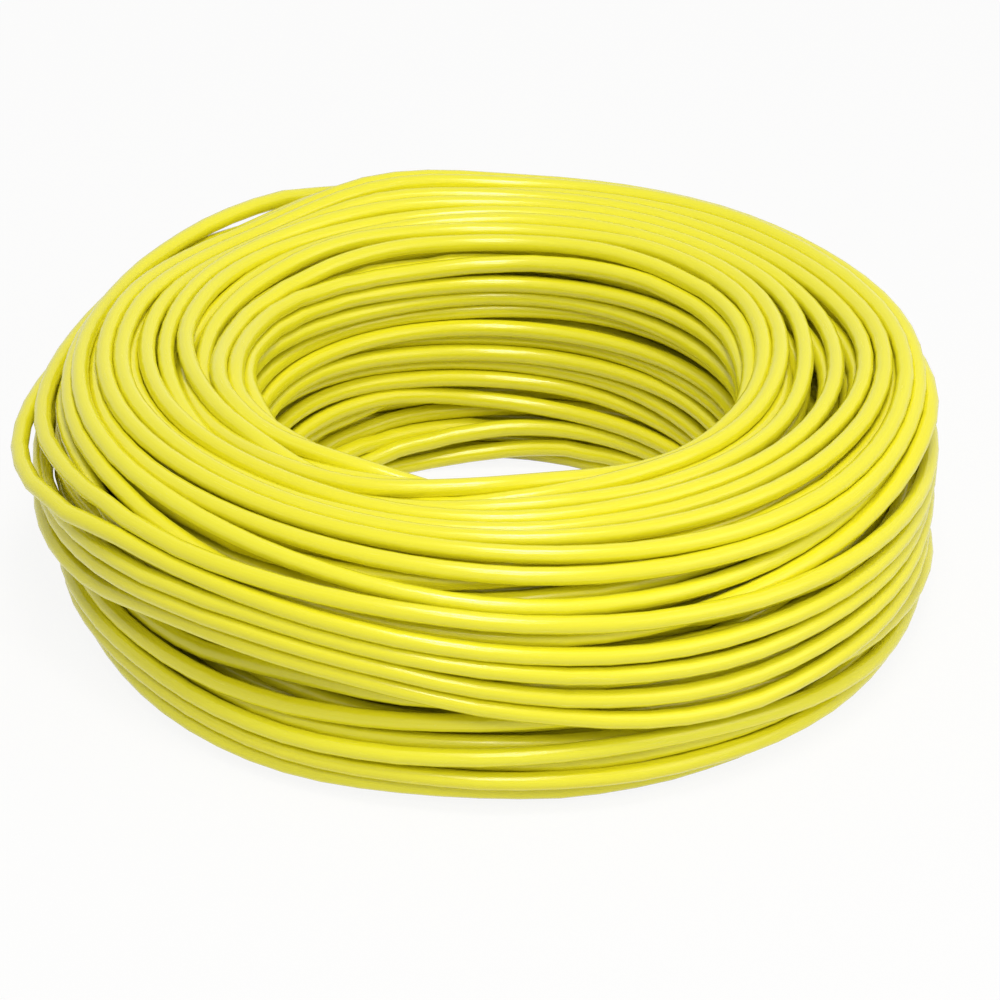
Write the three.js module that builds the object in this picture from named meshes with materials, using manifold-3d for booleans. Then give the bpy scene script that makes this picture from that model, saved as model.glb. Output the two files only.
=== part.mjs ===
// A coil of single-core building wire, wound without a drum and lying flat.
// Millimetres, +Z up. The origin is the middle of the bore, on the plane the coil lies on.

import * as THREE from 'three';
import { mergeVertices } from 'three/addons/utils/BufferGeometryUtils.js';
import Module from 'manifold-3d';

const manifoldLibrary = await Module();
manifoldLibrary.setup();

// The wire: seven copper strands inside a sheath of yellow PVC.
const strandDiameter = 0.67;
const strandClearance = 0.02;
const insulationWall = 0.755;
const outerStrandCount = 6;
const exposedDepth = 6; // how far in from each cut face the strands are modelled

// The coil as it lies: its overall sizes and the radii that round its section.
const coilDiameter = 185;
const boreDiameter = 97;
const coilHeight = 54;
const topOuterRadius = 15;
const topInnerRadius = 8;
const bottomInnerRadius = 4;
const bottomOuterRadius = 11;

// The outer layer of turns, and where its two cut ends lie, one above the other in the bore.
const turnCount = 24;
const endsHeight = 15;
const endsAngle = -90;
const endsGap = 0.6;
const endsSettle = 0.3; // turns in which an end moves over to make room for the other
const layerClearance = 0.3;
const leastTurnGap = 0.4;
const restDepthShare = 1 / 10; // of the wire's diameter, cut flat where the turns rest

// How finely the round shapes are faceted.
const stepsPerTurn = 24;
const wireSides = 6;
const cornerSteps = 5;
const strandSides = 12;

// The wire's section follows from its strands, and its place in the coil from the wire.
const boreRadius = 1.5 * strandDiameter + 2 * strandClearance;
const wireRadius = boreRadius + insulationWall;
const wireDiameter = 2 * wireRadius;
const facetReach = wireRadius * Math.cos(Math.PI / wireSides);
const restDepth = wireDiameter * restDepthShare;
const chordShortening = Math.cos(Math.PI / stepsPerTurn);

const yellowSheath = new THREE.MeshStandardMaterial({ color: 0xf2e02e, roughness: 0.35 });
const shadedSheath = new THREE.MeshStandardMaterial({ color: 0xcbbb1e, roughness: 0.45 });
const copper = new THREE.MeshStandardMaterial({ color: 0xc9703d, roughness: 0.3, metalness: 1 });

// The coil's section, drawn in by an inset, as a closed path of radius and height.
// It starts in the bore at the ends' height and runs down, outwards, up and back in.
function sectionPath(inset) {
  const inner = boreDiameter / 2 / chordShortening + inset;
  const outer = coilDiameter / 2 - inset;
  const bottom = inset - restDepth;
  const top = coilHeight - inset;
  const corners = [
    { x: inner, z: bottom, radius: bottomInnerRadius, from: Math.PI, turnsX: 1, turnsZ: 1 },
    { x: outer, z: bottom, radius: bottomOuterRadius, from: 1.5 * Math.PI, turnsX: -1, turnsZ: 1 },
    { x: outer, z: top, radius: topOuterRadius, from: 0, turnsX: -1, turnsZ: -1 },
    { x: inner, z: top, radius: topInnerRadius, from: 0.5 * Math.PI, turnsX: 1, turnsZ: -1 },
  ];
  const drawnIn = (radius) => Math.max(radius - inset, 0.1);
  const path = new THREE.Path();
  path.moveTo(inner, endsHeight);
  path.lineTo(inner, bottom + drawnIn(bottomInnerRadius));
  for (const corner of corners) {
    const radius = drawnIn(corner.radius);
    const centreX = corner.x + corner.turnsX * radius;
    const centreZ = corner.z + corner.turnsZ * radius;
    path.absarc(centreX, centreZ, radius, corner.from, corner.from + Math.PI / 2, false);
  }
  path.lineTo(inner, endsHeight);
  return path;
}

// How far an end lies from its even place along the section's outline, so that the
// first end and the last end pass side by side.
function endShift(turns) {
  const reach = (wireDiameter + endsGap) / 2;
  const fromFirst = 1 - THREE.MathUtils.smoothstep(turns, 0, endsSettle);
  const fromLast = THREE.MathUtils.smoothstep(turns, turnCount - endsSettle, turnCount);
  return reach * (fromFirst - fromLast);
}

// A point of the outer layer and the direction that faces away from the coil there.
// The turns share the section's outline evenly.
function layerStation(path, step) {
  const turns = step / stepsPerTurn;
  const share = turns / turnCount + endShift(turns) / path.getLength();
  const place = path.getPoint(share);
  const along = path.getTangent(share);
  const angle = THREE.MathUtils.degToRad(endsAngle) + 2 * Math.PI * turns;
  const radial = new THREE.Vector3(Math.cos(angle), Math.sin(angle), 0);
  const centre = radial.clone().multiplyScalar(place.x).setZ(place.y);
  const outward = radial.multiplyScalar(along.y).setZ(-along.x);
  return { centre, outward };
}

function layerStations() {
  const path = sectionPath(facetReach);
  const stations = [];
  for (let step = 0; step <= turnCount * stepsPerTurn; step += 1) {
    stations.push(layerStation(path, step));
  }
  return stations;
}

// One ring of the tube: a polygon with a flat side turned to the coil's inside.
function wireRing(station, direction) {
  const sideways = new THREE.Vector3().crossVectors(direction, station.outward).normalize();
  const ring = [];
  for (let side = 0; side < wireSides; side += 1) {
    const angle = (2 * Math.PI * (side + 0.5)) / wireSides;
    ring.push(
      station.centre
        .clone()
        .addScaledVector(station.outward, wireRadius * Math.cos(angle))
        .addScaledVector(sideways, wireRadius * Math.sin(angle)),
    );
  }
  return ring;
}

function directionAt(stations, index) {
  const before = stations[Math.max(index - 1, 0)].centre;
  const after = stations[Math.min(index + 1, stations.length - 1)].centre;
  return after.clone().sub(before).normalize();
}

// The outer layer as one closed tube, ring by ring from cut face to cut face.
function wireTube(stations) {
  const positions = [];
  stations.forEach((station, index) => {
    for (const point of wireRing(station, directionAt(stations, index))) {
      positions.push(point.x, point.y, point.z);
    }
  });
  const faces = [];
  for (let ring = 0; ring < stations.length - 1; ring += 1) {
    for (let side = 0; side < wireSides; side += 1) {
      const here = ring * wireSides + side;
      const beside = ring * wireSides + ((side + 1) % wireSides);
      faces.push(here, beside, here + wireSides, beside, beside + wireSides, here + wireSides);
    }
  }
  const lastRing = (stations.length - 1) * wireSides;
  for (let side = 1; side < wireSides - 1; side += 1) {
    faces.push(0, side + 1, side);
    faces.push(lastRing, lastRing + side, lastRing + side + 1);
  }
  const geometry = new THREE.BufferGeometry();
  geometry.setAttribute('position', new THREE.Float32BufferAttribute(positions, 3));
  geometry.setIndex(faces);
  return geometry;
}

// Where each cut face is, and which way it looks along the wire.
function cutFaces(stations) {
  const last = stations.length - 1;
  return {
    first: { centre: stations[0].centre, facing: directionAt(stations, 0).negate() },
    last: { centre: stations[last].centre, facing: directionAt(stations, last) },
  };
}

function toSolid(geometry) {
  const bare = geometry.clone();
  bare.deleteAttribute('normal');
  bare.deleteAttribute('uv');
  const merged = mergeVertices(bare, 1e-5);
  const solid = new manifoldLibrary.Mesh({
    numProp: 3,
    vertProperties: new Float32Array(merged.attributes.position.array),
    triVerts: new Uint32Array(merged.index.array),
  });
  return new manifoldLibrary.Manifold(solid);
}

function toGeometry(solid) {
  const mesh = solid.getMesh();
  const geometry = new THREE.BufferGeometry();
  geometry.setAttribute('position', new THREE.BufferAttribute(mesh.vertProperties, 3));
  geometry.setIndex(new THREE.BufferAttribute(mesh.triVerts, 1));
  geometry.computeVertexNormals();
  return geometry;
}

// A round bar that lies along the wire, from its cut face inwards, set off to one side.
function barAtCut(cut, radius, depth, overhang, offset) {
  const bar = new THREE.CylinderGeometry(radius, radius, depth + overhang, strandSides);
  const turn = new THREE.Quaternion().setFromUnitVectors(new THREE.Vector3(0, 1, 0), cut.facing);
  const middle = new THREE.Vector3(offset.x, (overhang - depth) / 2, offset.y);
  bar.translate(middle.x, middle.y, middle.z);
  bar.applyQuaternion(turn);
  bar.translate(cut.centre.x, cut.centre.y, cut.centre.z);
  return bar;
}

// The floor under the coil, which takes the lowest facets off the turns that rest on it.
function restingCut() {
  const depth = wireDiameter;
  const slab = new THREE.BoxGeometry(2 * coilDiameter, 2 * coilDiameter, depth);
  slab.translate(0, 0, -depth / 2);
  return slab;
}

function outerLayer(stations, cuts) {
  const centred = new THREE.Vector2(0, 0);
  let layer = toSolid(wireTube(stations)).subtract(toSolid(restingCut()));
  for (const cut of Object.values(cuts)) {
    const bore = barAtCut(cut, boreRadius, exposedDepth, wireDiameter, centred);
    layer = layer.subtract(toSolid(bore));
  }
  return toGeometry(layer);
}

// The turns underneath, packed so close that they are one ring.
function buriedTurns() {
  const inset = 2 * facetReach + layerClearance;
  const outline = [];
  for (const curve of sectionPath(inset).curves) {
    const steps = curve.isLineCurve ? 1 : cornerSteps;
    for (const point of curve.getPoints(steps)) {
      const previous = outline[outline.length - 1];
      if (!previous || previous.distanceTo(point) > 1e-6) {
        outline.push(point);
      }
    }
  }
  outline[outline.length - 1] = outline[0].clone();
  const ring = new THREE.LatheGeometry(outline, stepsPerTurn);
  ring.rotateX(Math.PI / 2);
  return ring;
}

// The middle strand and the six round it, as offsets from the wire's own axis.
function strandOffsets() {
  const offsets = [new THREE.Vector2(0, 0)];
  const spacing = strandDiameter + strandClearance;
  for (let strand = 0; strand < outerStrandCount; strand += 1) {
    const angle = (2 * Math.PI * strand) / outerStrandCount;
    offsets.push(new THREE.Vector2(Math.cos(angle), Math.sin(angle)).multiplyScalar(spacing));
  }
  return offsets;
}

function addMesh(group, name, geometry, material) {
  const mesh = new THREE.Mesh(geometry, material);
  mesh.name = name;
  group.add(mesh);
}

function reportLeastGap(stations) {
  const halfTurn = stepsPerTurn / 2;
  let least = Infinity;
  for (let here = 0; here < stations.length; here += 1) {
    for (let there = here + halfTurn; there < stations.length; there += 1) {
      const spacing = stations[here].centre.distanceTo(stations[there].centre);
      least = Math.min(least, spacing - wireDiameter);
    }
  }
  console.log(`wound_turns: least gap to itself ${least.toFixed(2)} mm, over ${leastTurnGap} mm`);
}

const stations = layerStations();
const cuts = cutFaces(stations);
reportLeastGap(stations);

const coil = new THREE.Group();
addMesh(coil, 'wound_turns', outerLayer(stations, cuts), yellowSheath);
addMesh(coil, 'buried_turns', buriedTurns(), shadedSheath);
for (const [end, cut] of Object.entries(cuts)) {
  strandOffsets().forEach((offset, index) => {
    const depth = exposedDepth - strandClearance;
    const strand = barAtCut(cut, strandDiameter / 2, depth, 0, offset);
    addMesh(coil, `${end}_end_strand_${index + 1}`, strand, copper);
  });
}

export default coil;
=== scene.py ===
import math

import bpy
import numpy as np
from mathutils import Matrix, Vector


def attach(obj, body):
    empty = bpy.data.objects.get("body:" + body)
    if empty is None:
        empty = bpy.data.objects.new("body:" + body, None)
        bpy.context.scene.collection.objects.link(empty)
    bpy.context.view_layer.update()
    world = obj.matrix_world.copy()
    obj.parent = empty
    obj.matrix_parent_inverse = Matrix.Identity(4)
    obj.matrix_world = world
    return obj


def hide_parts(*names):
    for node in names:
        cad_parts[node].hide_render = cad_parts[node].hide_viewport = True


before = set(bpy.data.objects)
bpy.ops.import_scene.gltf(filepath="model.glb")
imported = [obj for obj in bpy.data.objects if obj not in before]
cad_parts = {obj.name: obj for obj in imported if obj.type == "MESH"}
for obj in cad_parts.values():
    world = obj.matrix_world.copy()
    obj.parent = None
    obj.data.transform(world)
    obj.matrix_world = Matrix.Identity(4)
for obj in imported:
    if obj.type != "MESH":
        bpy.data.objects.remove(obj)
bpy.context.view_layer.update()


# Camera. The photograph looks down on the coil from about 29 degrees above the table,
# from the -Y side and from some way off, so the far turns are little smaller than the near ones.
CAMERA_DISTANCE = 1.0
CAMERA_ELEVATION = math.radians(29.3)
CAMERA_ROLL = math.radians(1.2)
CAMERA_LENS = 176.4          # mm
SENSOR_WIDTH = 36.0          # mm
CAMERA_REACH = 20.0          # past the far edge of the table
COIL_MIDDLE = Vector((0.0, 0.0, 0.025))
AIM_RIGHT = 0.0027           # how far right of the coil's middle the camera points
AIM_DOWN = 0.0060            # and how far below it

camera_back = Vector((0.0, -math.cos(CAMERA_ELEVATION), math.sin(CAMERA_ELEVATION)))
camera_up = Vector((0.0, math.sin(CAMERA_ELEVATION), math.cos(CAMERA_ELEVATION)))
camera_aim = COIL_MIDDLE + Vector((AIM_RIGHT, 0.0, 0.0)) - camera_up * AIM_DOWN
bpy.ops.object.camera_add(location=camera_aim + camera_back * CAMERA_DISTANCE)
camera = bpy.context.object
camera.name = "photo_camera"
camera.rotation_euler = (-camera_back).to_track_quat("-Z", "Y").to_euler()
camera.rotation_euler.rotate_axis("Z", CAMERA_ROLL)
camera.data.lens = CAMERA_LENS
camera.data.sensor_width = SENSOR_WIDTH
camera.data.clip_end = CAMERA_REACH
bpy.context.scene.camera = camera


# The wire. One length of single-core building wire: a copper conductor of seven strands in a
# glossy yellow PVC sheath, 3.6 mm over all. It is wound into a loose coil of some 113 turns,
# with no drum and no tie: the turns lie beside, across and over one another, and hold by friction.
WIRE = 0.0036
TURNS = 113
STATIONS = 72                # places in each turn where the lie of the turns is worked out
START_ANGLE = -math.pi / 2   # the wire's first end is at the front
ENDS_HEIGHT = 0.015          # of the middle between the two ends, in the bore
WINDING_SEED = 11

# The section of the coil over its outermost wires, which changes round the coil. In brackets: the
# measure midway, how much it gains on the right (+X), and how much it loses at the back (+Y).
INNER_RADIUS = (0.0480, 0.0020, 0.0010)
LOW_OUTER_RADIUS = (0.0922, 0.0, 0.0009)
HIGH_OUTER_RADIUS = (0.0895, -0.0015, 0.0010)
HEIGHT = (0.0538, 0.0006, 0.0)
HIGH_OUTER_CORNER = (0.0125, -0.0030, 0.0020)
HIGH_INNER_CORNER = 0.0080
LOW_INNER_CORNER = 0.0035
LOW_OUTER_CORNER = 0.0100
LEFT_ROUNDING = 0.0030       # what the low outer corner gains on the left
LEFT_DRAW = 0.0056           # what the low outer radius loses there
RIGHT_DRAW = 0.0018          # and on the right
CORNER_POINTS = 7
OUTLINE_POINTS = 140
NORMAL_REACH = 2             # outline points to either side of a place that its normal spans

# Where the coil is pinched in, and, with a minus, where it bulges: the angle in degrees, the
# share of the way round the section, the half width in degrees, the reach as a share, and the
# depth. The band of turns over the skin bridges the first three, and shades the turns there.
BRIDGED_PINCHES = (
    (232, 0.424, 56, 0.032, 0.0066),
    (200, 0.380, 50, 0.030, 0.0026),
    (216, 0.537, 38, 0.014, 0.0026),
)
PINCHES = BRIDGED_PINCHES + (
    (166, 0.500, 30, 0.060, 0.0028),
    (134, 0.615, 34, 0.045, 0.0026),
    (108, 0.600, 24, 0.050, -0.0022),
    (46, 0.600, 36, 0.050, -0.0009),
    (8, 0.575, 35, 0.050, -0.0022),
    (353, 0.440, 25, 0.035, 0.0014),
    (198, 0.345, 30, 0.026, -0.0018),
    (238, 0.305, 35, 0.040, -0.0014),
    (312, 0.300, 35, 0.040, -0.0010),
    (264, 0.315, 24, 0.030, 0.0010),
    (275, 0.775, 45, 0.035, -0.0009),
    (100, 0.040, 60, 0.050, -0.0026),
)


def hump(angle, middle, half_width):
    """1 at the middle angle, falling to 0 at half_width to either side, both in degrees."""
    away = np.abs(np.mod(angle - math.radians(middle) + math.pi, 2 * math.pi) - math.pi)
    away = away / math.radians(half_width)
    return np.where(away < 1, np.cos(away * math.pi / 2) ** 2, 0.0)


def inward_normals(ahead, behind):
    """Which way the coil's inside is, between two points of its outline."""
    tangent = ahead - behind
    tangent /= np.linalg.norm(tangent, axis=1)[:, None]
    return np.stack([-tangent[:, 1], tangent[:, 0]], 1)


def pinched(angle, share, pinches):
    """How deep the outline is pinched in at an angle and a share of the way round the section."""
    total = np.zeros(len(share))
    for middle, place, half_width, reach, depth in pinches:
        pinch = hump(angle, middle, half_width)
        total += depth * pinch * np.exp(-((share - place) / reach) ** 2)
    return total


def corner_arc(centre_radius, centre_height, radius, start):
    angles = start + np.linspace(0, math.pi / 2, CORNER_POINTS)
    return np.stack([centre_radius + radius * np.cos(angles),
                     centre_height + radius * np.sin(angles)], 1)


def outline_at(angle):
    """The coil's section at one angle, as wire centres: down the bore, out, up and back in."""
    right, back = math.cos(angle), math.sin(angle)
    left = max(-right, 0.0)

    def here(measure):
        midway, gained_right, lost_back = measure
        return midway + gained_right * right - lost_back * back

    inset = WIRE / 2
    inner = here(INNER_RADIUS) + inset
    low = here(LOW_OUTER_RADIUS) - RIGHT_DRAW * max(right, 0.0) - LEFT_DRAW * left ** 2 - inset
    high = here(HIGH_OUTER_RADIUS) - inset
    bottom = inset
    top = here(HEIGHT) - inset
    low_in = LOW_INNER_CORNER - inset
    low_out = LOW_OUTER_CORNER + LEFT_ROUNDING * left ** 2 - inset
    high_out = here(HIGH_OUTER_CORNER) - inset
    high_in = HIGH_INNER_CORNER - inset
    ring = np.concatenate([
        [[inner, ENDS_HEIGHT]],
        corner_arc(inner + low_in, bottom + low_in, low_in, math.pi),
        corner_arc(low - low_out, bottom + low_out, low_out, 1.5 * math.pi),
        corner_arc(high - high_out, top - high_out, high_out, 0.0),
        corner_arc(inner + high_in, top - high_in, high_in, 0.5 * math.pi),
        [[inner, ENDS_HEIGHT]],
    ])
    lengths = np.r_[0, np.cumsum(np.hypot(*np.diff(ring, axis=0).T))]
    even = np.linspace(0, lengths[-1], OUTLINE_POINTS, endpoint=False)
    outline = np.stack([np.interp(even, lengths, ring[:, 0]),
                        np.interp(even, lengths, ring[:, 1])], 1)
    inward = inward_normals(np.roll(outline, -1, axis=0), np.roll(outline, 1, axis=0))
    return outline + pinched(angle, even / lengths[-1], PINCHES)[:, None] * inward


def place_in_section(outlines, station, share, depth):
    """Radius and height at a share of the way round the section, some depth under its skin."""
    spot = np.mod(share, 1.0) * OUTLINE_POINTS
    index = np.floor(spot).astype(int) % OUTLINE_POINTS
    part = (spot - np.floor(spot))[:, None]
    here = outlines[station, index]
    there = outlines[station, (index + 1) % OUTLINE_POINTS]
    ahead = outlines[station, (index + 1 + NORMAL_REACH) % OUTLINE_POINTS]
    behind = outlines[station, (index - NORMAL_REACH) % OUTLINE_POINTS]
    inward = inward_normals(ahead, behind)
    return here * (1 - part) + there * part + inward * depth[:, None]


# How the turns stray from their even places: over how many turns they stray alike, and how far
# in one, two and three waves round each turn. They stray in groups and alone, and they sink in.
STRAY_IN_GROUPS = (2.0, (0.0026, 0.0014, 0.0007))
STRAY_ALONE = (0.6, (0.0012, 0.0008, 0.0004))
SINK = (0.7, (0.0009, 0.0008, 0.0005))
LEAST_SINK = 0.0006
KNOTS = 8                    # places in each turn where the strength of the straying changes
BELL_WIDTHS = 3              # past which a bell curve is as good as nothing
CALM_TURNS = 0.5             # at either end, over which the straying sets in
CALM_BAND = 0.6              # share of the straying that the band over the skin is spared


def smooth_noise(random, count, reach):
    """Noise in which values within about reach of one another are alike."""
    span = max(int(BELL_WIDTHS * reach), 1)
    raw = random.normal(size=count + 2 * span)
    bell = np.exp(-0.5 * (np.arange(-span, span + 1) / reach) ** 2)
    return np.convolve(raw, bell / np.sqrt((bell ** 2).sum()), "valid")[:count]


def wander(random, turns, reach, sizes):
    """How far the wire strays: waves round each turn, alike over some turns to either side."""
    total = np.zeros(len(turns))
    knots = np.arange((TURNS + 1) * KNOTS) / KNOTS
    for waves, size in enumerate(sizes, start=1):
        for wave in (np.cos, np.sin):
            strength = smooth_noise(random, len(knots), reach * KNOTS) * size
            total += np.interp(turns, knots, strength) * wave(2 * math.pi * waves * turns)
    return total


# The order of the winding. The fourth, third and second layers lie under the skin, and a band of
# turns, wound when the skin was half done, lies over the skin's middle on the outside.
ENDS_TURNS = 1               # turns from the first end down into the coil's middle
FOURTH_TURNS = 13
THIRD_TURNS = 20
SECOND_TURNS = 31
SKIN_TURNS = 43
LOWER_SKIN_TURNS = 21.5
BAND_TURNS = TURNS - ENDS_TURNS - FOURTH_TURNS - THIRD_TURNS - SECOND_TURNS - SKIN_TURNS
ROUNDING = 1e-9              # turns, so that a span's last station counts as its own
GIRTH = 0.165                # metres round the section, which is one share
END_SHARE = 0.0021 / GIRTH   # how far either end is from the start of the outline
SKIN_MIDDLE = 3.512
BAND_PROUD = 0.0031          # how far the band stands out over the skin

# Each span's turns, the shares at which it begins and ends, with one more for every round of the
# section, and its depth under the skin.
SPANS = (
    (ENDS_TURNS, END_SHARE, END_SHARE, 0.0),
    (FOURTH_TURNS, 0.02, 1.0, 0.0100),
    (THIRD_TURNS, 1.0, 2.0, 0.0066),
    (SECOND_TURNS, 2.0, 3.0, 0.0033),
    (LOWER_SKIN_TURNS, 3.0 + END_SHARE + 0.004 / GIRTH, SKIN_MIDDLE, 0.0),
    (BAND_TURNS, 3.520, 3.392, -BAND_PROUD),
    (SKIN_TURNS - LOWER_SKIN_TURNS, SKIN_MIDDLE, 4.0 - END_SHARE, 0.0),
)

# The band runs higher round the front left, its lower turns most of all.
BAND_TOP = 3.515
BAND_WIDTH = 0.125
BAND_LIFT = 0.0035
LOW_TURNS_LIFT = 0.0130
LIFT_ANGLE = 246
LIFT_HALF_WIDTH = 62

# Where neighbouring turns of the skin part and show the dark between them, and, with a minus,
# where they close up: the angle in degrees, the share of the way round the section, the half
# width in degrees, and how far they move.
PARTINGS = (
    (248, 0.366, 58, 0.0028),
    (238, 0.545, 45, 0.0018),
    (262, 0.484, 22, 0.0010),
    (325, 0.400, 30, 0.0014),
    (315, 0.478, 22, 0.0010),
    (178, 0.676, 52, 0.0028),
    (176, 0.764, 22, 0.0016),
    (0, 0.680, 34, 0.0022),
    (38, 0.873, 55, -0.0014),
)
PARTING_EDGE = 0.0025        # how near a parting the turns move in full
PARTING_REACH = 0.010        # and how far off they hardly move
SKIN_DEPTH = 0.0045          # down to which the layers take part in it

# Loops that stand proud of the coil, so that the light shows between them and the next turns:
# how many turns from the first end, their half width in turns, and how far they stand out.
PROUD_LOOPS = (
    (80.24, 0.10, 0.0027),
    (87.790, 0.10, 0.0047),
    (90.785, 0.11, 0.0028),
    (93.225, 0.09, 0.0034),
    (93.560, 0.18, 0.0064),
)


def parted(angle, share):
    """The shares, moved away from the partings near them."""
    moved = share.copy()
    for middle, place, half_width, reach in PARTINGS:
        away = (np.mod(share - place + 0.5, 1.0) - 0.5) * GIRTH
        push = np.tanh(away / PARTING_EDGE) * reach * np.exp(-(away / PARTING_REACH) ** 2)
        moved += push / GIRTH * hump(angle, middle, half_width)
    return moved


def eased(values):
    """Spreads the steps from span to span over a turn."""
    bell = np.hanning(STATIONS)
    bell /= bell.sum()
    ends = (np.full(STATIONS, values[0]), values, np.full(STATIONS, values[-1]))
    return np.convolve(np.concatenate(ends), bell, "same")[STATIONS:-STATIONS]


def laid_in_spans(turns):
    """Each point's share of the way round the section and its depth, as the spans have them."""
    share = np.zeros(len(turns))
    depth = np.zeros(len(turns))
    begun = 0
    for count, first, last, under in SPANS:
        on = (turns >= begun) & (turns < begun + count + ROUNDING)
        share[on] = first + (last - first) * (turns[on] - begun) / count
        depth[on] = under
        begun += count
    return eased(share), eased(depth)


def laid_turns(random, outlines, turns, station):
    """Where the winder lays the wire: the inner layers, the lower half of the skin, the band over
    it, and the upper half of the skin. Gives each point's radius and height, and its depth."""
    angle = START_ANGLE + 2 * math.pi * turns
    share, depth = laid_in_spans(turns)
    band = np.clip(-depth / BAND_PROUD, 0, 1)
    lowness = np.clip((BAND_TOP - share) / BAND_WIDTH, 0, 1)
    lift = (BAND_LIFT + LOW_TURNS_LIFT * lowness) * hump(angle, LIFT_ANGLE, LIFT_HALF_WIDTH)
    share += band * lift / GIRTH
    skin = np.exp(-(depth / SKIN_DEPTH) ** 2) * (1 - band)
    share += skin * (parted(angle, share) - share)
    free = np.clip(turns / CALM_TURNS, 0, 1) * np.clip((TURNS - turns) / CALM_TURNS, 0, 1)
    free = free * (1 - CALM_BAND * band)
    in_groups = wander(random, turns, *STRAY_IN_GROUPS)
    alone = wander(random, turns, *STRAY_ALONE)
    share += free * (in_groups + alone) / GIRTH
    depth += free * np.hypot(wander(random, turns, *SINK), LEAST_SINK)
    depth -= band * pinched(angle, np.mod(share, 1.0), BRIDGED_PINCHES)
    for middle, half_width, proud in PROUD_LOOPS:
        away = np.clip(np.abs(turns - middle) / half_width, 0, 1)
        depth -= proud * np.cos(away * math.pi / 2) ** 2
    return place_in_section(outlines, station, share, depth), depth


# How the wire settles, step by step. It springs back a little towards where it was laid, its
# bends even out over some stations to either side, and turns that touch are pushed apart.
SETTLING_STEPS = 240
SPRING_BACK = 0.06           # share of the way back at first, which fades to nothing
SPRING_FADING = 1.5
SHORT_BENDS = (1, 0.35)      # stations to either side, and how much of a pushed bend evens out
LONG_BENDS = (3, 0.25)
ALL_BENDS = (3, 0.04)        # the same for the wire's own bends, laid or pushed
CROSSING_LIFT = 3.0          # how strongly crossing turns are at first sent over and under
LIFT_FADING = 2.5
PUSHES = 3                   # in each step
PUSH_OVERSHOOT = 1.3
LEAST_GAP = 1e-7             # metres, so that two points at one place aren't divided by nothing
CLOSE = 1.7                  # wire widths between the middles of turns that may come to touch
CLOSE_PAIRS_SERVE = 8        # steps for which one list of such turns serves
PINNED = 4                   # stations at either end that follow the straight cut ends


def close_pairs(places):
    """Pairs of chain points that lie near one another at the same angle of the coil."""
    by_station = places.reshape(TURNS, STATIONS, 2).transpose(1, 0, 2)
    apart = by_station[:, :, None] - by_station[:, None]
    near = (apart ** 2).sum(-1) < (CLOSE * WIRE) ** 2
    station, first, second = np.nonzero(near)
    once = first < second
    return first[once] * STATIONS + station[once], second[once] * STATIONS + station[once]


def push_apart(places, first, second, reach, inward, lift):
    """Moves touching points, or with reach 1 the touching middles of steps, off one another.
    lift turns the push of turns that cross towards over and under, away from side by side."""
    count = len(places)
    gaps = places[second] - places[first]
    if reach:
        gaps = (gaps + places[second + 1] - places[first + 1]) / 2
    lengths = np.hypot(gaps[:, 0], gaps[:, 1])
    touching = lengths < WIRE
    gaps, lengths = gaps[touching], lengths[touching]
    one, other = first[touching], second[touching]
    steep = (gaps * inward[one]).sum(1)
    heading = gaps + lift * steep[:, None] * inward[one]
    heading /= np.maximum(np.hypot(heading[:, 0], heading[:, 1]), LEAST_GAP)[:, None]
    pushes = heading * (WIRE - lengths)[:, None] / 2
    moves = np.zeros((count, 2))
    hits = np.zeros(count)
    for step in range(reach + 1):
        for points, sense in ((one + step, -1), (other + step, 1)):
            hits += np.bincount(points, minlength=count)
            for axis in (0, 1):
                moves[:, axis] += np.bincount(points, sense * pushes[:, axis], count)
    return moves, hits


def nearest_normals(places, outlines, station):
    """The outline point nearest to each place, and which way the inside is there."""
    around = outlines[station]
    index = ((around - places[:, None]) ** 2).sum(-1).argmin(1)
    inward = inward_normals(outlines[station, (index + 1) % OUTLINE_POINTS],
                            outlines[station, (index - 1) % OUTLINE_POINTS])
    return index, inward


def even_out(chain, reach, share):
    """Moves each point a share of the way to the middle between those at reach to either side."""
    between = (chain[:-2 * reach] + chain[2 * reach:]) / 2
    chain[reach:-reach] += share * (between - chain[reach:-reach])


def settle(places, depth, outlines, station):
    """Lets the stiff wire straighten, while the turns push one another apart."""
    laid = places.copy()
    allowed = np.minimum(depth, 0.0)
    pinned = np.r_[0:PINNED, len(places) - PINNED:len(places)]
    for step in range(SETTLING_STEPS):
        if step % CLOSE_PAIRS_SERVE == 0:
            first, second = close_pairs(places)
            inner = second < len(places) - 1
        held = SPRING_BACK * (1 - step / SETTLING_STEPS) ** SPRING_FADING
        forced = places - laid
        even_out(forced, *SHORT_BENDS)
        even_out(forced, *LONG_BENDS)
        places = laid + (1 - held) * forced
        even_out(places, *ALL_BENDS)
        index, inward = nearest_normals(places, outlines, station)
        lift = CROSSING_LIFT * max(1 - LIFT_FADING * step / SETTLING_STEPS, 0.0)
        for _ in range(PUSHES):
            moves, hits = push_apart(places, first, second, 0, inward, lift)
            more, more_hits = push_apart(places, first[inner], second[inner], 1, inward, lift)
            shared = np.maximum(hits + more_hits, 1)[:, None]
            places = places + PUSH_OVERSHOOT * (moves + more) / shared
        inside = ((places - outlines[station, index]) * inward).sum(1)
        places = places + np.maximum(allowed - inside, 0)[:, None] * inward
        places[pinned] = laid[pinned]
    return places


def cut_end(node_name):
    """The middle of a cut face and the way that the wire runs on from it, from its CAD strand."""
    points = np.array([vertex.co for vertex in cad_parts[node_name].data.vertices])
    middle = points.mean(0)
    axis = np.linalg.svd(points - middle)[2][0]
    along = (points - middle) @ axis
    faces = points[along > 0].mean(0), points[along < 0].mean(0)
    face, inner = sorted(faces, key=lambda point: abs(point[0]))
    return face, (inner - face) / np.linalg.norm(inner - face)


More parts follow.
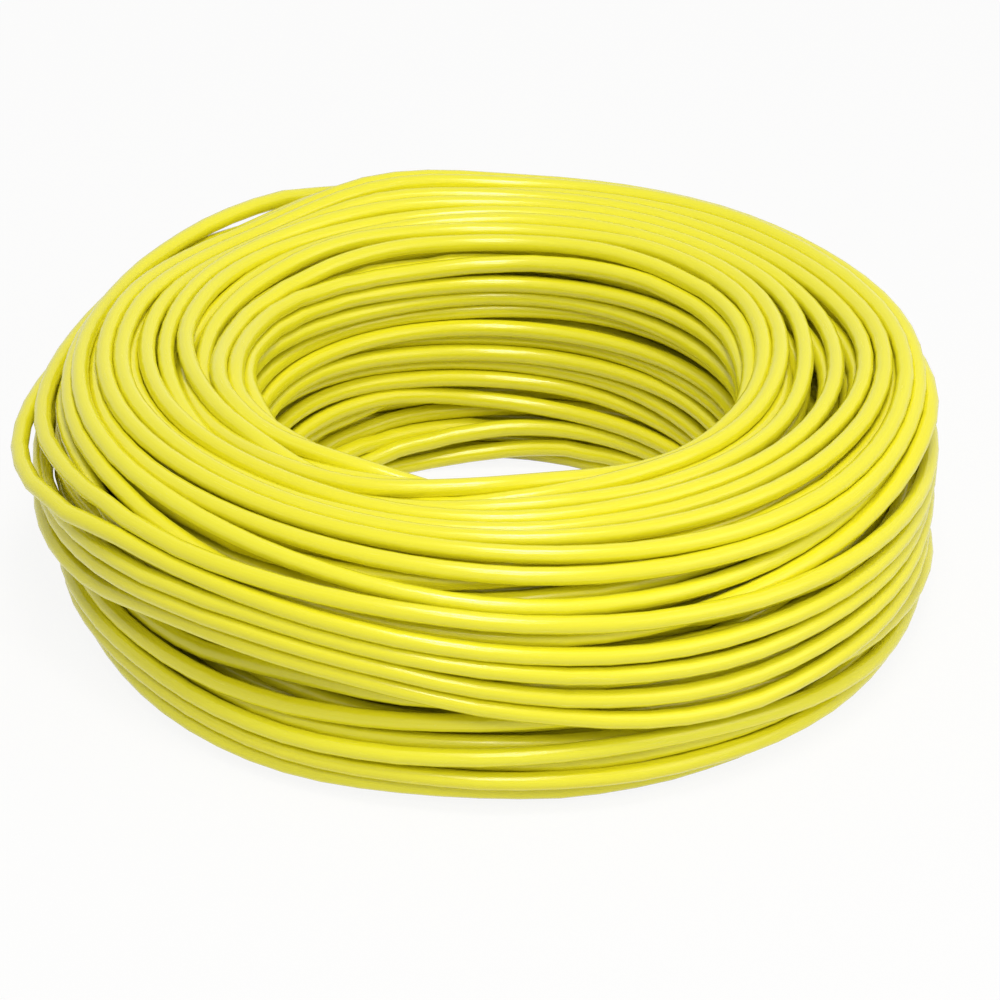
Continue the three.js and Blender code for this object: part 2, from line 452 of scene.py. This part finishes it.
first_face, first_heading = cut_end("first_end_strand_1")
last_face, last_heading = cut_end("last_end_strand_1")


def straight_run(face, heading, angles):
    """Radius and height where the straight end of the wire passes each angle."""
    across = np.stack([-np.sin(angles), np.cos(angles)], 1)
    reach = -(across @ face[:2]) / (across @ heading[:2])
    points = face + reach[:, None] * heading
    return np.stack([np.hypot(points[:, 0], points[:, 1]), points[:, 2]], 1)


def centreline():
    """The wire's middle, from cut face to cut face. The last cut face is a station further on
    than the last turn's stations, so its own middle ends the line."""
    random = np.random.default_rng(WINDING_SEED)
    angles = START_ANGLE + 2 * math.pi * np.arange(STATIONS) / STATIONS
    outlines = np.stack([outline_at(angle) for angle in angles])
    chain = np.arange(TURNS * STATIONS)
    station = chain % STATIONS
    places, depth = laid_turns(random, outlines, chain / STATIONS, station)
    first_angles = START_ANGLE + 2 * math.pi * np.arange(PINNED) / STATIONS
    last_angles = START_ANGLE + 2 * math.pi * np.arange(-PINNED + 1, 1) / STATIONS
    last_angles = last_angles - 2 * math.pi / STATIONS
    places[:PINNED] = straight_run(first_face, first_heading, first_angles)
    places[-PINNED:] = straight_run(last_face, last_heading, last_angles)
    places = settle(places, depth, outlines, station)
    points = np.stack([places[:, 0] * np.cos(angles[station]),
                       places[:, 0] * np.sin(angles[station]), places[:, 1]], 1)
    return np.concatenate([points, [last_face]])


def tube_rings(path, radius, sides):
    """Rings of points round the path, each with its first point on the upper side."""
    along = np.gradient(path, axis=0)
    along /= np.linalg.norm(along, axis=1)[:, None]
    upward = np.array([0.0, 0.0, 1.0]) - along * along[:, 2:3]
    upward /= np.linalg.norm(upward, axis=1)[:, None]
    sideways = np.cross(upward, along)
    turn = 2 * math.pi * np.arange(sides) / sides
    return (path[:, None] + radius * (np.cos(turn)[:, None] * upward[:, None]
                                      + np.sin(turn)[:, None] * sideways[:, None]))


# The sheath as one closed tube. It is cut square at both ends, where a short bore shows the
# strands: from the bore's floor out to the cut face, along the outside, and in again.
WIRE_SIDES = 12
SHEATH_BORE = 0.00108        # its radius
BORE_DEPTH = 0.0062

path = centreline()
wire_length = float(np.linalg.norm(np.diff(path, axis=0), axis=1).sum())
bore_floors = np.array([first_face + first_heading * BORE_DEPTH,
                        last_face + last_heading * BORE_DEPTH])
outside = tube_rings(path, WIRE / 2, WIRE_SIDES)
bore = tube_rings(path, SHEATH_BORE, WIRE_SIDES)
first_bore = np.stack([bore[0] + bore_floors[0] - path[0], bore[0]])
last_bore = np.stack([bore[-1], bore[-1] + bore_floors[1] - path[-1]])
rings = np.concatenate([first_bore, outside, last_bore])
ring_count = len(rings)
faces = []
for ring in range(ring_count - 1):
    here = ring * WIRE_SIDES
    beyond = here + WIRE_SIDES
    for side in range(WIRE_SIDES):
        beside = (side + 1) % WIRE_SIDES
        faces.append((here + side, here + beside, beyond + beside, beyond + side))
faces.append(tuple(range(WIRE_SIDES))[::-1])
faces.append(tuple((ring_count - 1) * WIRE_SIDES + side for side in range(WIRE_SIDES)))
wire_mesh = bpy.data.meshes.new("coiled_wire")
wire_mesh.from_pydata(rings.reshape(-1, 3).tolist(), [], faces)
wire = bpy.data.objects.new("coiled_wire", wire_mesh)
bpy.context.scene.collection.objects.link(wire)
cut_faces = {1, ring_count - 3}  # the flat rings between the bore and the outside
for polygon in wire_mesh.polygons:
    ring = polygon.index // WIRE_SIDES
    polygon.use_smooth = len(polygon.vertices) == 4 and ring not in cut_faces

# Where each point of the sheath lies on the straight, unwound wire, for its streaks and marks:
# metres along it, and the way round it as a direction.
along_wire = np.r_[0, np.cumsum(np.linalg.norm(np.diff(path, axis=0), axis=1))]
along_wire = np.concatenate([along_wire[:1] + BORE_DEPTH, along_wire[:1], along_wire,
                             along_wire[-1:], along_wire[-1:] - BORE_DEPTH])
round_wire = 2 * math.pi * np.arange(WIRE_SIDES) / WIRE_SIDES
unwound = np.empty((ring_count, WIRE_SIDES, 3))
unwound[:, :, 0] = along_wire[:, None]
unwound[:, :, 1] = np.cos(round_wire)
unwound[:, :, 2] = np.sin(round_wire)
unwound_lie = wire_mesh.attributes.new("unwound", "FLOAT_VECTOR", "POINT")
unwound_lie.data.foreach_set("vector", unwound.reshape(-1))


class Shade:
    """An output of a shader node, or with no output the tree to which the first node is added.
    A sum written on it adds the nodes that work it out."""

    def __init__(self, tree, output=None):
        self.tree = tree
        self.output = output

    def node(self, kind, values=None, out=0, **settings):
        """Adds a node: first its settings, then the values or links of its sockets."""
        made = self.tree.nodes.new(kind)
        for name, setting in settings.items():
            setattr(made, name, setting)
        for name, value in (values or {}).items():
            feed(made.inputs[name], value)
        return Shade(self.tree, made.outputs[out])

    def beside(self, name):
        """Another output of the same node."""
        return Shade(self.tree, self.output.node.outputs[name])

    def sum(self, operation, first, second):
        return self.node("ShaderNodeMath", {0: first, 1: second}, operation=operation)

    def __add__(self, other):
        return self.sum("ADD", self, other)

    def __radd__(self, other):
        return self.sum("ADD", other, self)

    def __sub__(self, other):
        return self.sum("SUBTRACT", self, other)

    def __rsub__(self, other):
        return self.sum("SUBTRACT", other, self)

    def __mul__(self, other):
        return self.sum("MULTIPLY", self, other)

    def __rmul__(self, other):
        return self.sum("MULTIPLY", other, self)

    def blend(self, first, second):
        """A colour between two, this value of the way from the first to the second."""
        return self.node("ShaderNodeMix", {0: self, 6: first, 7: second}, out=2, data_type="RGBA")

    def stretched(self, *scale):
        return self.node("ShaderNodeVectorMath", {0: self, 1: scale}, operation="MULTIPLY")

    def grain(self, detail=3.0, roughness=0.5):
        """Soft noise at this place, from 0 to 1 about a half."""
        return self.node("ShaderNodeTexNoise",
                         {"Vector": self, "Scale": 1.0, "Detail": detail, "Roughness": roughness})

    def ramp(self, low, high):
        """0 below low, 1 above high, and straight between them."""
        return self.node("ShaderNodeMapRange", {0: self, 1: low, 2: high})

    def bump(self, strength, height):
        """The slope that this relief gives a surface, with its full height in metres."""
        return self.node("ShaderNodeBump",
                         {"Strength": strength, "Distance": height, "Height": self})


def feed(socket, value):
    if isinstance(value, Shade):
        value.tree.links.new(value.output, socket)
    else:
        socket.default_value = value


def new_finish(name):
    """A material, its surface's sockets, and the tree to which its nodes are added."""
    material = bpy.data.materials.new(name)
    material.use_nodes = True
    tree = material.node_tree
    return material, tree.nodes["Principled BSDF"].inputs, Shade(tree)


LEMON = (0.850, 0.815, 0.022, 1)
DEEP_LEMON = (0.835, 0.778, 0.014, 1)
PALE_LEMON = (0.870, 0.862, 0.075, 1)
SCUFFED = (0.800, 0.788, 0.155, 1)
PVC_IOR = 1.53
GLOSS = 0.17                 # roughness of the clean, smooth sheath
SHEATH_RELIEF = 0.00005      # metres from the lowest to the highest of its ridges and streaks
STRANDS = 6                  # round the middle one, which press faint ridges into the sheath
STRAND_LAY = 0.030           # metres in which the strands go once round inside the wire

# The colour drifts slowly along the wire and is mottled, the die has left streaks, and here and
# there the sheath is rubbed dull or has specks on it. Each pattern's three numbers say how often
# it changes, in each metre along the wire and then round it.
sheath, sheath_inputs, sheath_tree = new_finish("yellow_sheath")
lie = sheath_tree.node("ShaderNodeAttribute", out="Vector", attribute_name="unwound")
batch = lie.stretched(1.7, 0.1, 0.1).grain(detail=2.0).ramp(0.35, 0.65)
mottle = lie.stretched(35.0, 0.6, 0.6).grain().ramp(0.3, 0.7)
streaks = lie.stretched(9.0, 5.0, 5.0).grain(detail=4.0, roughness=0.6)
fine_streaks = lie.stretched(40.0, 18.0, 18.0).grain(detail=2.0)
rubbed = lie.stretched(90.0, 2.2, 2.2).grain(detail=4.0, roughness=0.65).ramp(0.62, 0.74)
specks = lie.stretched(900.0, 3.0, 3.0).grain(detail=1.0).ramp(0.70, 0.76)

body_colour = (batch * 0.55 + mottle * 0.25).blend(DEEP_LEMON, LEMON)
streaked = streaks.ramp(0.45, 0.75) * 0.30
marked = (rubbed * 0.35 + specks * 0.20) * streaks.ramp(0.35, 0.6)
sheath_colour = marked.blend(streaked.blend(body_colour, PALE_LEMON), SCUFFED)
feed(sheath_inputs["Base Color"], sheath_colour)
feed(sheath_inputs["Roughness"],
     GLOSS + streaks.ramp(0.3, 0.7) * 0.06 + fine_streaks * 0.04 + rubbed * 0.16)
feed(sheath_inputs["IOR"], PVC_IOR)

spread = lie.node("ShaderNodeSeparateXYZ", {0: lie}, out="X")
way_round = lie.node("ShaderNodeMath", {0: spread.beside("Z"), 1: spread.beside("Y")},
                     operation="ARCTAN2")
twist = spread * (2 * math.pi * STRANDS / STRAND_LAY)
ridges = lie.node("ShaderNodeMath", {0: way_round * STRANDS - twist}, operation="COSINE")
relief = ridges * 0.10 + fine_streaks * 0.45 + streaks * 0.6 - rubbed * 0.3
feed(sheath_inputs["Normal"], relief.bump(strength=0.5, height=SHEATH_RELIEF))
wire_mesh.materials.append(sheath)

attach(wire, "root")
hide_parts("wound_turns", "buried_turns")


# The copper. Seven bare strands show in the cut face at either end of the wire: drawn copper,
# bright where the cutters have just gone through it, a little browned along its sides.
BRIGHT_COPPER = (0.90, 0.47, 0.28, 1)
BROWNED_COPPER = (0.46, 0.19, 0.09, 1)
DRAWN_RELIEF = 0.00002       # metres, of the fine lines from the wire-drawing die

copper, copper_inputs, copper_tree = new_finish("bright_copper")
place = copper_tree.node("ShaderNodeTexCoord", out="Object")
drawn = place.stretched(900.0, 5000.0, 5000.0).grain(detail=3.0)
browning = place.stretched(700.0, 700.0, 700.0).grain(detail=4.0, roughness=0.6).ramp(0.42, 0.68)
feed(copper_inputs["Base Color"], browning.blend(BRIGHT_COPPER, BROWNED_COPPER))
feed(copper_inputs["Roughness"], 0.20 + browning * 0.18 + drawn * 0.12)
feed(copper_inputs["Normal"], drawn.bump(strength=0.4, height=DRAWN_RELIEF))
feed(copper_inputs["Metallic"], 1.0)
for name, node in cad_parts.items():
    if "_end_strand_" in name:
        node.data.materials.clear()
        node.data.materials.append(copper)


# The table and the light. A plain white surface and soft light from large, high sources, as in a
# catalogue photograph. The camera and the gloss see the table and the room as white.
TABLE_SIZE = 12.0
TABLE_WHITE = (0.80, 0.80, 0.80, 1)
TABLE_GLOW = 0.90            # share of the table that is seen as plain white, without shadow
ROOM_LIGHT = 0.40
LAMP_WHITE = (1.0, 0.96, 0.90)
WHITE = (1, 1, 1, 1)

bpy.ops.mesh.primitive_plane_add(size=TABLE_SIZE, location=(0, 0, 0))
floor = bpy.context.object
floor.name = "white_table"
paper, paper_inputs, paper_tree = new_finish("white_paper")
floor_place = paper_tree.node("ShaderNodeTexCoord", out="Object")
fibres = floor_place.stretched(800.0, 800.0, 800.0).grain()
feed(paper_inputs["Base Color"], TABLE_WHITE)
feed(paper_inputs["Roughness"], 0.8 + fibres * 0.2)


def seen_directly(tree):
    """1 for what the camera, a reflection or clear glass sees, 0 for light that falls on things."""
    rays = tree.node("ShaderNodeLightPath", out="Is Camera Ray")
    total = rays + rays.beside("Is Glossy Ray") + rays.beside("Is Transmission Ray")
    return total.ramp(0.0, 1.0)


paper_nodes = paper.node_tree.nodes
glow = paper_tree.node("ShaderNodeEmission", {"Color": WHITE, "Strength": 1.0})
matt = Shade(paper.node_tree, paper_nodes["Principled BSDF"].outputs["BSDF"])
seen = seen_directly(paper_tree) * TABLE_GLOW
surface = paper_tree.node("ShaderNodeMixShader", {0: seen, 1: matt, 2: glow})
feed(paper_nodes["Material Output"].inputs["Surface"], surface)
floor.data.materials.append(paper)

world = bpy.data.worlds.new("studio")
bpy.context.scene.world = world
world.use_nodes = True
room = world.node_tree.nodes["Background"].inputs
feed(room["Color"], WHITE)
room_seen = seen_directly(Shade(world.node_tree))
feed(room["Strength"], ROOM_LIGHT + room_seen * (1 - ROOM_LIGHT))


def softbox(name, place, size, watts):
    bpy.ops.object.light_add(type="AREA", location=place)
    lamp = bpy.context.object
    lamp.name = name
    lamp.rotation_euler = (COIL_MIDDLE - Vector(place)).to_track_quat("-Z", "Y").to_euler()
    lamp.data.size = size
    lamp.data.energy = watts
    lamp.data.color = LAMP_WHITE


softbox("key_softbox", (0.05, -0.80, 0.90), size=0.24, watts=3.1)
softbox("top_softbox", (0.05, -0.35, 1.15), size=0.30, watts=5.6)
softbox("side_softbox", (0.95, -0.45, 0.60), size=0.80, watts=2.7)

bpy.context.scene.view_settings.view_transform = "Standard"
